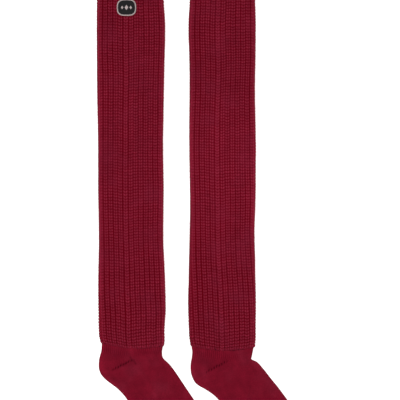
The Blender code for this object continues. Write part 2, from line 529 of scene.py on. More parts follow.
@dataclass(frozen=True)
class WoolFinish:
    """Dyed wool yarn: uneven dye, short fibres and a soft sheen."""

    name: str
    # On the leg the crest colour is a painted highlight on the yarn's tops; the next colour is painted
    # shade for the grooves.
    crest: Colour
    painted_shade: Colour
    cast: Colour
    cast_scale: float = 28.0
    fibre_scale: float = 1400.0
    mottle: float = 0.3
    relief: float = 0.8
    sheen: float = 0.03
    sheen_tint: Colour = (255, 130, 150)

    def start(self) -> tuple[NodeBoard, Socket]:
        """Begin the wool's colour.

        Returns:
            The board, and the colour: the crest colour to the painted shade colour by the
            knit's depth, with a purple cast in patches and a fine mottle. On the leg the crest
            colour is a painted highlight.
        """
        board = NodeBoard(self.name)
        place = board.place()
        # The stored share mixes the crest colour, with its painted highlight, into the painted shade
        # colour.
        depth = board.math("POWER", board.point_value("painted_shade"), 0.9)
        colour = board.blend(depth, linear(*self.crest), linear(*self.painted_shade))
        patch = board.math("SUBTRACT", board.noise(place, self.cast_scale, 2.0), 0.5)
        patch = board.math("SMOOTH_MAX", patch, 0.0, 0.1)
        colour = board.blend(patch, colour, linear(*self.cast))
        fibre = board.noise(place, self.fibre_scale, 3.0)
        clump = board.noise(place, self.fibre_scale / 4, 2.0)
        mottle = board.ranged(board.plus(fibre, clump), self.mottle, 1.0 - self.mottle)
        # The stored tone scales the colour: random dye and stitch tone, with painted light and shade.
        return board, board.scaled(colour, board.times(mottle, board.point_value("tone")))

    def fibres(self, board: NodeBoard, height: float) -> Socket:
        """The short fibres, up to a height."""
        return board.times(board.noise(board.place(), self.fibre_scale * 1.6, 4.0), height)

    def dress(self, board: NodeBoard, colour: Socket) -> Material:
        """Set the wool's plain values."""
        return board.finish(
            colour,
            Roughness=0.92,
            Specular_IOR_Level=0.0,
            Sheen_Weight=self.sheen,
            Sheen_Roughness=0.3,
            Sheen_Tint=linear(*self.sheen_tint),
        )


@dataclass(frozen=True)
class RibWool(WoolFinish):
    """The leg's thick plied yarn."""

    plies: float = 2.6
    lean: float = 4.0
    yarn: float = 0.8 * MM

    def material(self) -> Material:
        """Make the material: fibres, and plies that lean along each arm of a stitch."""
        board, colour = self.start()
        course, side = board.knit_place()
        turn = board.times(board.plus(course, board.times(side, self.lean)), self.plies * FULL_TURN)
        height = board.plus(board.wave(turn), self.fibres(board, 1.2))
        board.bump(height, self.relief, self.yarn)
        return self.dress(board, colour)


@dataclass(frozen=True)
class JerseyWool(WoolFinish):
    """The foot's fine yarn in plain knit."""

    slant: float = 1.6
    yarn: float = 0.4 * MM

    def material(self) -> Material:
        """Make the material: fine V stitches from the knit map, and fibres."""
        board, colour = self.start()
        course, side = board.knit_place()
        row = board.math("SUBTRACT", course, board.times(side, self.slant))
        across = board.hump(board.times(side, FULL_TURN))
        down = board.hump(board.times(row, math.pi))
        stitch = board.times(across, board.ranged(down, 0.6, 0.4))
        board.bump(board.plus(stitch, self.fibres(board, 0.8)), self.relief, self.yarn)
        # Painted shade between the stitches, and a painted highlight on their tops.
        return self.dress(board, board.scaled(colour, board.ranged(stitch, 0.16, 0.9)))


@dataclass(frozen=True)
class ThreadFinish:
    """Smooth embroidery thread."""

    name: str
    light: Colour
    dark: Colour
    grain_scale: float = 2600.0

    def material(self) -> Material:
        """Make the material: a slight shine, and painted shade between threads."""
        board = NodeBoard(self.name)
        depth = board.point_value("painted_shade")
        # The dark colour is painted shade between the stitches.
        colour = board.blend(depth, linear(*self.light), linear(*self.dark))
        grain = board.noise(board.place(), self.grain_scale, 2.0)
        board.bump(grain, 0.25, 0.1 * MM)
        colour = board.scaled(colour, board.ranged(grain, 0.2, 0.9))
        return board.finish(colour, Roughness=0.5, Specular_IOR_Level=0.4, Sheen_Weight=0.1)


@dataclass(frozen=True)
class TwillFinish:
    """Black twill cloth with fine slanting lines."""

    name: str
    light: Colour
    dark: Colour
    pitch: float = 0.55 * MM
    grain_scale: float = 3000.0

    def material(self) -> Material:
        """Make the material: slanting ribs crossed by fine threads."""
        board = NodeBoard(self.name)
        slant = board.plus(*board.parts(board.place()))
        rib = board.wave(board.times(slant, FULL_TURN / self.pitch))
        grain = board.noise(board.place(), self.grain_scale, 2.0)
        board.bump(board.plus(rib, board.times(grain, 0.5)), 0.5, 0.15 * MM)
        colour = board.blend(rib, linear(*self.dark), linear(*self.light))
        return board.finish(colour, Roughness=0.8, Specular_IOR_Level=0.25, Sheen_Weight=0.05)


@dataclass(frozen=True)
class TableFinish:
    """White table that keeps almost no shadow."""

    name: str
    glow: float
    grain_scale: float = 40.0

    def material(self) -> Material:
        """Make the material: white paint with a faint grain and a little light of its own."""
        board = NodeBoard(self.name)
        grain = board.noise(board.place(), self.grain_scale, 2.0)
        colour = board.blend(grain, (0.9, 0.9, 0.9, 1.0), (0.92, 0.92, 0.92, 1.0))
        return board.finish(
            colour,
            Roughness=0.8,
            Specular_IOR_Level=0.0,
            Emission_Color=(1.0, 1.0, 1.0, 1.0),
            Emission_Strength=self.glow,
        )


@dataclass
class KnitTube:
    """A flattened knitted tube on one sock."""

    plan: SockPlan
    material: Material
    part: str = ""
    wrap_rows: bool = False
    merge: float = 0.01 * MM
    # Painted shade on the inner skin.
    inner_painted_shade: float = 0.3
    sag_reach: float = 60.0
    spread: Point = (0.0, 0.0)

    @cached_property
    def outline(self) -> Array:
        """Lines across the tube, each a back point and a front point, in millimetres."""
        raise NotImplementedError

    @cached_property
    def knots(self) -> Array:
        """Distance of each line of the outline from the first."""
        return self.distances(self.outline)

    def edges_at(self, down: Array) -> Array:
        """Back and front points at distances from the outline's first line."""
        return curve_through(self.knots, self.outline, down)

    @staticmethod
    def distances(rows: Array) -> Array:
        """Measure along the tube's middle.

        Args:
            rows: Lines across the tube.

        Returns:
            Distance of each line from the first, in millimetres.
        """
        middle = (rows[:, :2] + rows[:, 2:]) / 2
        steps = np.hypot(*np.diff(middle, axis=0).T)
        return np.concatenate([[0.0], np.cumsum(steps)])

    def sagging(self, away: Array) -> Array:
        """How far the tube's middle hangs down, most at the ankle and nothing far away."""
        return self.plan.sag * (1 - smooth_step(away, 0.0, self.sag_reach))

    def creased(self, points: Array) -> tuple[Array, Array]:
        """Height, and tone of painted light and shade, that the sock's creases add.

        Args:
            points: Points in millimetres from the ankle point, last axis of 3.

        Returns:
            The height in millimetres and the tone of painted light and shade, at each point.
        """
        rise = tone = np.zeros(points.shape[:2])
        for crease in self.plan.creases:
            share = crease.share(points[..., 0], points[..., 1])
            rise = rise + crease.rise * share
            tone = tone + crease.tone * share
        return rise, tone

    def lay(
        self,
        edges: Array,
        thick: Array,
        share: Array,
        sag: Array,
        lift: Array | float = 0.0,
        inset: Array | None = None,
    ) -> Array:
        """Place the tube's points.

        A point lies on the section's slot shape, moved out by the lift, and the middle
        of each section sags towards the toe. The nap of the outside stands out past the
        back and front edges by the tube's spread.

        Args:
            edges: Back and front points for each grid point, last axis of 4.
            thick: Full thickness of the section there.
            share: Place round the section, 0 to 2.
            sag: How far the middle of the section hangs down, in millimetres.
            lift: Distance out from the section.
            inset: Thickness of the wall outside these points, where they line the inside.

        Returns:
            The points in millimetres from the ankle point, last axis of 3.
        """
        spread = self.spread if inset is None else (0.0, 0.0)
        inset = 0.0 if inset is None else inset
        back, run = edges[..., :2], edges[..., 2:] - edges[..., :2]
        width = np.hypot(run[..., 0], run[..., 1])
        along = run / width[..., None]
        back = back - along * spread[0]
        width = width + sum(spread)
        section = flat_section(width - 2 * inset, thick - 2 * inset, share)
        across = section.across + inset + lift * section.out_across
        height = section.height + inset + lift * section.out_height
        middle = np.sin(math.pi * np.clip(across / width, 0.0, 1.0))
        x = back[..., 0] + along[..., 0] * across
        y = back[..., 1] + along[..., 1] * across - sag * middle
        return np.stack([x, y, height], -1)

    def join(
        self,
        outer: Array,
        inner: Array,
        counts: tuple[Array, Array],
        shades: tuple[Array, Array],
    ) -> Piece:
        """Join the skins, store what the wool reads at each point, and add the piece.

        Args:
            outer: The outer skin, in millimetres from the ankle point.
            inner: The inner skin, in the same units, from the outer skin's last row on.
            counts: Wale counts at the columns, and course counts at the rows.
            shades: Share of painted shade, and tone with painted light, at each point of the outer
                skin.

        Returns:
            The piece, named for its sock and part.
        """
        points = np.concatenate([outer, inner]) * MM
        points[..., :2] += self.plan.ankle
        mesh = grid_mesh(f"{self.plan.name}_{self.part}_knit", points, self.wrap_rows, True)
        add_knit_map(mesh, *counts)
        plain = np.ones(inner.shape[:2])
        # The inner skin gets painted shade and a plain tone.
        for name, values, inside in zip(("painted_shade", "tone"), shades, (self.inner_painted_shade, 1.0)):
            add_values(mesh, name, np.concatenate([values, plain * inside]))
        close_mesh(mesh, self.merge)
        return add_piece(mesh, self.material)


class StitchGrid(NamedTuple):
    """What each point of the leg's outside knows of its stitch.

    Its rib and course counts, its distance down from the cuff, its place round the
    section, its relief, and how uneven its stitch is, -1 to 1.
    """

    rib: Array
    course: Array
    down: Array
    share: Array
    relief: Array
    odd: Array


@dataclass
class RibbedLeg(KnitTube):
    """The leg's half-cardigan rib, every stitch modelled as two leaning arms."""

    part: str = "leg"
    wrap_rows: bool = True
    ribs: int = 28
    courses: int = 125
    rib_pitch: float = 7.5
    rim: float = 0.6
    thick: float = 7.2
    wall: float = 3.2
    depth: float = 2.3
    crest: float = 0.35
    lean: float = 0.32
    plain_rib: int = 5
    plain_width: float = 1.12
    roundness: float = 0.62
    split: float = 0.58
    split_width: float = 0.11
    groove_range: Point = (0.3, 1.2)
    course_groove: float = 0.6
    plain_groove: float = 0.54
    dip: float = 3.4
    dip_reach: float = 1.7
    tooth: float = 2.6
    tooth_range: Point = (0.5, 1.3)
    loop: float = 0.9
    odd_rise: float = 0.18
    odd_tone: float = 0.04
    pressed: float = 0.8
    # Painted rim light on the back and front edges.
    painted_rim_light: float = 0.2
    edge_width: float = 0.065
    end_step: float = 1.7
    # Painted shade on the inner skin.
    inner_painted_shade: float = 0.35
    spread: Point = (1.3, 1.1)
    fine_columns: tuple[float, ...] = (0.0, 0.10, 0.22, 0.36, 0.50, 0.64, 0.78, 0.90)
    coarse_columns: tuple[float, ...] = (0.0, 0.26, 0.5, 0.74)
    course_steps: tuple[float, ...] = (0.0, 0.24, 0.50, 0.78)
    groove_drift: Unevenness = Unevenness(0.15, 60.0, 17)
    course_wave: Unevenness = Unevenness(1.3, 60.0, 11)
    course_ripple: Unevenness = Unevenness(0.3, 8.0, 13)
    rib_phase: Unevenness = Unevenness(0.7, 70.0, 19)
    rib_warp: Unevenness = Unevenness(0.08, 60.0, 23)
    dye: Unevenness = Unevenness(0.03, 25.0, 41)

    @cached_property
    def outline(self) -> Array:
        """The leg's level lines, cuff first."""
        return np.array(
            [(row.back, row.height, row.front, row.height - row.drop) for row in self.plan.leg_rows]
        )

    def columns(self) -> Array:
        """Rib count at each column: fine on the upper face, coarser below."""
        places = []
        for rib in range(self.ribs):
            upper = rib < self.ribs // 2 or rib >= self.ribs - 2
            steps = self.fine_columns if upper else self.coarse_columns
            places.extend(rib + step for step in steps)
        return np.array(places)

    def rows(self) -> Array:
        """Course count at each row, cuff first."""
        steps = [course + step for course in range(self.courses) for step in self.course_steps]
        return np.array([*steps, float(self.courses)])

    def spaced(self, rib: Array) -> Array:
        """Make the plain rib a little wider than the others.

        Args:
            rib: Rib count, with all ribs alike.

        Returns:
            The place round the leg, in mean rib widths.
        """
        widths = np.ones(self.ribs)
        widths[self.plain_rib :: self.ribs // 2] = self.plain_width
        places = np.concatenate([[0.0], np.cumsum(widths)]) * self.ribs / widths.sum()
        return np.interp(rib, np.arange(self.ribs + 1), places)

    def yarn_relief(self, rib: Array, course: Array) -> Array:
        """Height of the knit between its grooves, 0, and its crests, 1.

        Across a rib it is a round hump with a shallow split between the two arms. Down a
        rib each course swells and tucks under the next. The grooves between ribs deepen
        down the leg, and fade over its last courses.

        Args:
            rib: Rib count; a whole number is a groove between ribs.
            course: Course count; a whole number is the line between courses.

        Returns:
            The relief, from 0 to about 1.
        """
        place = np.mod(rib, 1.0)
        index = np.floor(rib).astype(int)
        plain = index % (self.ribs // 2) == self.plain_rib
        drift = self.groove_drift.at(rib * 60.0, course * 4.0)

        groove = np.array([*self.plan.grooves, *self.plan.grooves, self.plan.grooves[0]])
        side = groove[index] * (1 - place) + groove[index + 1] * place
        deeper = 0.95 + 0.2 * smooth_step(course / self.courses, 1.6 / 3, 2.6 / 3)
        deeper = deeper - 0.28 * smooth_step(course - self.courses, -12.0, -2.0)
        side = np.clip(side * deeper * (1 + drift), *self.groove_range)
        power = np.where(plain, self.plan.plain_round, self.roundness)
        hump = 1 - side * (1 - np.sin(math.pi * place) ** power)
        split = np.where(plain, self.plan.plain_split, self.split)
        split = split * bell(place - 0.5, self.split_width)
        swell = np.sin(math.pi * np.mod(course, 1.0) ** 0.9) ** 0.8
        tuck = np.where(plain, self.plain_groove, self.course_groove) * (1 - drift)
        return np.clip(hump - split, 0.0, 1.0) * (1 - tuck + tuck * swell)

    def chain(self, rib: Array) -> Array:
        """How far the cuff's cast-off loops stand up, two loops for each rib."""
        return self.loop * (np.abs(np.sin(FULL_TURN * rib)) ** 0.6 - 0.5)

    def shifts(self, rib: Array, course: Array, pitch: float, teeth: Array) -> Array:
        """How far each point hangs below the level place of its course.

        It is the lean of a stitch's arms, the dip of the courses at the plain rib and
        their waves, and at the ends the loops of the cuff and the teeth of the last row.

        Args:
            rib: Rib count at each point.
            course: Course count at each point.
            pitch: Distance between courses, in millimetres.
            teeth: Size of the last row's tooth at each point, around 1.

        Returns:
            The shifts in millimetres.
        """
        place, along, across = np.mod(rib, 1.0), course * pitch, rib * self.rib_pitch
        shift = self.lean * pitch * (0.5 - np.abs(2 * place - 1))
        away = np.abs(rib - self.plain_rib - 0.5)
        shift = shift + self.dip * np.exp(-away / self.dip_reach) - 1.0
        shift = shift + self.course_wave.at(across, along) + self.course_ripple.at(across, along)
        shift = shift + self.rib_phase.at(np.floor(rib) * 97.0, along)
        to_end = self.courses - course
        free = smooth_step(course, 0.0, 3.0) * (0.35 + 0.65 * smooth_step(to_end, 0.0, 4.0))
        last = 1 - smooth_step(to_end, 0.0, 1.6)
        tooth = self.tooth * teeth * (np.sin(math.pi * place) ** 0.7 - 1.0) * last
        return shift * free + tooth - self.chain(rib) * (1 - smooth_step(course, 0.0, 1.2))

    def stitches(self) -> StitchGrid:
        """Place every point of the outside down and round the leg.

        Returns:
            The grid of stitches, cuff first.
        """
        source = np.random.default_rng(self.plan.stitch_seed)
        teeth = source.uniform(*self.tooth_range, self.ribs)
        odd = source.uniform(-1.0, 1.0, (self.courses + 1, self.ribs))
        rib, course = np.meshgrid(self.columns(), self.rows())
        pitch = (self.knots[-1] - self.rim) / self.courses
        whole_rib = rib.astype(int)
        down = course * pitch + self.shifts(rib, course, pitch, teeth[whole_rib])
        warp = self.rib_warp.at(rib * self.rib_pitch, course * pitch)
        share = (self.spaced(rib) + profile_at(self.plan.rib_turns, down) + warp) * 2.0 / self.ribs
        relief = self.yarn_relief(rib, course)
        return StitchGrid(rib, course, down, share, relief, odd[course.astype(int), whole_rib])

    def outside(self, grid: StitchGrid) -> Array:
        """Place the outer skin.

        A point stands out of the plain section by its stitch's relief, and on the upper
        face also by the sock's creases and swell. The underside is pressed flat.

        Args:
            grid: The grid of stitches.

        Returns:
            The points in millimetres from the ankle point.
        """
        to_ankle = self.knots[-1] - grid.down
        rough = self.depth * (0.45 + 0.55 * smooth_step(to_ankle, 0.0, 6.0))
        rough = rough * smooth_step(grid.course, -0.525, 0.975)
        lift = rough * (grid.relief - 1.0) + self.crest + self.odd_rise * grid.odd * grid.relief
        upper = np.mod(grid.share, 2.0) <= 1.0
        lift = np.where(upper, lift, np.minimum(lift - self.crest, -0.02) * self.pressed)
        thick = self.thick - self.end_step * (1 - smooth_step(to_ankle, 0.0, 12.0))
        sag = self.sagging(to_ankle)
        points = self.lay(self.edges_at(grid.down), thick, grid.share, sag, lift)
        swell = self.plan.swell.at(points[..., 0], points[..., 1]) + self.creased(points)[0]
        points[..., 2] += np.where(upper, swell * smooth_step(points[..., 2], 4.0, 7.0), 0.0)
        return points

    def inside(self, grid: StitchGrid) -> Array:
        """Place the rim at the ankle, the inner skin and the rim at the cuff.

        Args:
            grid: The grid of stitches.

        Returns:
            The points, ankle first, in millimetres from the ankle point.
        """
        length, full = self.knots[-1], self.thick
        # Distance from the cuff, wall outside these points, and the leg's thickness.
        stations = np.array(
            [
                (length + 0.2, 0.9, full - self.end_step),
                (length - 2.0, 1.6, full - self.end_step),
                (length - 5.0, 2.4, full - 0.5 * self.end_step),
                (length - 10.0, self.wall, full),
                (length * 0.75, self.wall, full),
                (length * 0.50, self.wall, full),
                (length * 0.25, self.wall, full),
                (6.0, self.wall, full),
                (1.2, self.wall - 0.3, full),
                (-0.5, self.wall - 0.9, full),
                (-1.1, self.wall * 0.5, full),
            ]
        )
        columns = grid.share.shape[1]
        down, wall, thick = (np.repeat(column[:, None], columns, 1) for column in stations.T)
        down[-3:] -= self.chain(grid.rib[0])
        mix = down / length
        share = grid.share[0] * (1 - mix) + grid.share[-1] * mix
        sag = self.sagging(length - down)
        return self.lay(self.edges_at(down), thick, share, sag, inset=wall)

    def shades(self, grid: StitchGrid, points: Array) -> tuple[Array, Array]:
        """What the wool reads at each point of the outer skin.

        Args:
            grid: The grid of stitches.
            points: The outer skin, in millimetres from the ankle point.

        Returns:
            The share of painted shade, from 0 on a crest with a painted highlight to 1 in a groove,
            and the tone, around 1, with painted light.
        """
        # Painted rim light: less painted shade and a lighter tone at the back and front edges.
        edge = bell(grid.share, self.edge_width) + 0.8 * bell(grid.share - 1.0, self.edge_width)
        last_row = smooth_step(grid.course - self.courses, -0.5, 0.0)
        # Painted highlight on the yarn's tops and painted shade in the grooves, with less shade on the
        # last row.
        painted_highlight = smooth_step(grid.relief, 0.86 - 1 / 1.3, 0.86) ** 1.8 * (0.95 + 0.05 * grid.odd)
        painted_shade = (1 - painted_highlight) * (1 - 0.4 * last_row) * (1 - 0.75 * edge)
        # Painted light along the leg and along its creases, a random tone for each stitch, and uneven
        # dye.
        tone = profile_at(self.plan.painted_leg_light, grid.down) + self.creased(points)[1]
        tone = tone + self.odd_tone * grid.odd + self.dye.at(points[..., 0], points[..., 1])
        return np.clip(painted_shade, 0.0, 1.0), tone + self.painted_rim_light * edge

    def build(self) -> Piece:
        """Build the leg as one closed skin: outside down, round the rim, inside up."""
        grid = self.stitches()
        outer, inner = self.outside(grid), self.inside(grid)
        wales = np.append(self.columns(), float(self.ribs))
        back_up = np.linspace(self.courses + 0.5, 2 * self.courses, len(inner))
        courses = np.concatenate([self.rows(), back_up, [2 * self.courses + 0.5]])
        return self.join(outer, inner, (wales, courses), self.shades(grid, outer))


@dataclass
class FineFoot(KnitTube):
    """The foot: a short band of fine rib, the turned heel, plain knit and a round toe."""

    part: str = "foot"
    merge: float = 0.012 * MM
    thick: float = 4.8
    wall: float = 2.0
    length: float = 235.0
    toe_round: float = 62.0
    toe_power: float = 2.5
    toe_lines: int = 46
    toe_wall: float = 9.0
    tuck: float = 3.2
    tuck_slim: float = 2.0
    tuck_lift: float = 0.8
    step_in: float = 1.4
    fine_length: float = 75.0
    fine_step: float = 0.75
    coarse_step: float = 1.6
    inner_step: int = 6
    face_columns: int = 155
    face_width: float = 95.0
    wale_pitch: float = 2.0
    course_pitch: float = 1.5
    band_ribs: int = 31
    band_depth: float = 0.7
    # Painted shade in the fine rib's valleys.
    band_painted_shade: float = 0.42
    # Painted light on the fine rib band and just below the leg's end, and painted shade at the
    # eyelets.
    painted_band_light: float = 0.12
    # Painted rim light on the back and front edges.
    painted_rim_light: float = 0.22
    edge_width: float = 0.07
    sag_reach: float = 40.0
    spread: Point = (1.0, 0.1)
    dye: Unevenness = Unevenness(0.07, 14.0, 51)
    dye_spots: Unevenness = Unevenness(0.05, 6.0, 53)
    form: Unevenness = Unevenness(0.3, 22.0, 57)

    def directions(self) -> tuple[Array, Array]:
        """Unit vectors ahead to the toe and across to the instep."""
        turn = math.radians(self.plan.foot_angle)
        return np.array([math.sin(turn), -math.cos(turn)]), np.array([math.cos(turn), math.sin(turn)])

    @cached_property
    def outline(self) -> Array:
        """Lines from inside the leg's end, round the heel fan, to the ball of the foot."""
        last = self.plan.leg_rows[-1]
        back = np.array([last.back, last.height])
        front = np.array([last.front, last.height - last.drop])
        run = (front - back) / np.hypot(*(front - back))
        up = np.array([-run[1], run[0]])
        rows = [
            (*(back + run * self.step_in + up * reach), *(front - run * self.step_in + up * reach))
            for reach in (self.tuck, -0.3)
        ]
        rows.extend(self.plan.heel_rows)
        ahead, across = self.directions()
        ends = np.array(rows[-1]).reshape(2, 2)
        ball = float(np.dot(self.plan.heel_corner, ahead)) + self.length - self.toe_round
        for share in (1 / 3, 2 / 3, 1.0):
            reach = (ends @ ahead) * (1 - share) + ball * share
            line = reach[:, None] * ahead + (ends @ across)[:, None] * across
            rows.append(tuple(line.reshape(-1)))
        return np.array(rows)

    def toe_rows(self) -> tuple[Array, Array]:
        """Lines round the toe, whose half width follows a superellipse.

        Returns:
            The lines, and the foot's thickness at each, which ends at nothing.
        """
        ahead, _ = self.directions()
        last = self.outline[-1]
        ends = np.linspace(0.0, 1.0, self.toe_lines + 1)[1:]
        reach = np.sin(ends * math.pi / 2) ** 0.9
        width = (1 - np.clip(reach, 0, 1 - 1e-9) ** self.toe_power) ** (1 / self.toe_power)
        width = np.maximum(width, 0.12)[:, None]
        half = (last[2:] - last[:2]) / 2
        centre = (last[:2] + last[2:]) / 2 + ahead * (reach * self.toe_round)[:, None]
        slim = np.clip((1 - reach) * self.toe_round / (self.thick / 2), 0.0, 1.0)
        thick = self.thick * np.sqrt(1 - (1 - slim) ** 2)
        lines = np.concatenate([centre - half * width, centre + half * width], 1)
        return lines, np.maximum(thick, 0.002)

    def build(self) -> Piece:
        """Build the foot as one closed skin: toe to ankle outside, ankle to toe inside."""
        near = np.arange(0.0, self.fine_length, self.fine_step)
        far = np.arange(self.fine_length, self.knots[-1], self.coarse_step)
        body = self.edges_at(np.concatenate([near, far]))
        toe, toe_thick = self.toe_rows()
        lines = np.concatenate([body, toe])
        run = self.distances(lines) - self.tuck
        tucked = 1 - smooth_step(run, -self.tuck, 0.0)
        thick = np.concatenate([np.full(len(body), self.thick), toe_thick])
        thick = thick - self.tuck_slim * tucked

        face = np.linspace(0.0, 1.0, self.face_columns, endpoint=False)
        columns = np.concatenate([face, 1.0 + face])
        share, grid_run = np.meshgrid(columns, run)
        edges = np.repeat(lines[:, None, :], len(columns), 1)
        thick = np.repeat(thick[:, None], len(columns), 1)
        sag = self.sagging(grid_run)
        flat = self.lay(edges, thick, share, sag)
        lift, painted_shade, tone = self.surface(flat, share, grid_run)
        outer = self.lay(edges, thick, share, sag, lift)
        outer[..., 2] += self.tuck_lift * tucked[:, None]

        keep = np.flatnonzero(run <= run[-1] - self.toe_wall)[:: -self.inner_step]
        keep = np.unique([0, *keep])
        inset = np.minimum(self.wall, thick[keep] / 2 - 0.3)
        inset[-1] = self.thick / 2 - 0.001
        inset[0] = self.wall * 0.5
        inner = self.lay(edges[keep], thick[keep], share[keep], sag[keep], inset=inset)
        inner[..., 2] += self.tuck_lift * tucked[keep, None]

        wales = np.append(columns, 2.0) * self.face_width / self.wale_pitch
        courses = np.concatenate([run[::-1], -run[keep] - 4.0]) / self.course_pitch
        return self.join(outer[::-1], inner, (wales, courses), (painted_shade[::-1], tone[::-1]))

    def surface(self, flat: Array, share: Array, run: Array) -> tuple[Array, Array, Array]:
        """Relief, painted shade and tone of the foot's outside.

        The fine rib fades below the band. On the upper face come the heel's eyelets, the
        sock's creases and an uneven form.

        Args:
            flat: The foot's plain points, in millimetres from the ankle point.
            share: Place round the section, 0 to 2.
            run: Distance along the foot from the rib's end.

        Returns:
            The lift in millimetres, the share of painted shade from 0 to 1, and the tone around 1,
            with painted light and shade.
        """
        x, y = flat[..., 0], flat[..., 1]
        top = np.where(share <= 1.0, 1.0, 0.0)
        gap, trace, line = self.plan.rib_gap, self.plan.rib_trace, self.plan.heel_line
        ribbed = 1 - smooth_step(run / self.plan.band, 0.6, 1.2)
        ribbed = ribbed * (1 - gap.rise * gap.share(x, y) * top)
        ribbed = np.maximum(ribbed, trace.rise * trace.share(x, y) * top)
        wale = (0.5 - 0.5 * np.cos(FULL_TURN * self.band_ribs * share)) ** 0.8
        pits = line.pits(x, y) * top
        rise, crease_painted_light = self.creased(flat)
        rise = rise + self.form.at(x, y) * smooth_step(run, 0.0, 15.0)
        lift = self.band_depth * ribbed * (wale - 0.6) - line.depth * pits + rise * top
        lift = np.where(top > 0, lift, np.minimum(lift, 0.0)) * smooth_step(run[-1, 0] - run, 0.0, 8.0)
        # Painted shade in the fine rib's valleys and in the heel's eyelets.
        painted_shade = np.maximum(self.band_painted_shade * ribbed * (1 - wale), pits)

        # Painted rim light along the back edge, fainter towards the toe, and along the front edge.
        edge = bell(share, self.edge_width) * (1 - 0.6 * smooth_step(run, 60.0, 120.0))
        edge = edge + 0.4 * bell(share - 1.0, self.edge_width)
        # Painted light on the fine rib band and just below the leg's end, against the leg's shadow;
        # painted shade at the eyelets; painted light and shade along the creases; uneven dye.
        near_rib = 1 - smooth_step(run, 0.0, 7.0)
        tone = 1.0 + self.dye.at(x, y) + self.dye_spots.at(x, y) + self.painted_rim_light * edge
        tone = tone + self.painted_band_light * (ribbed + near_rib - pits) + crease_painted_light * top
        return lift, np.clip(painted_shade, 0.0, 1.0), tone


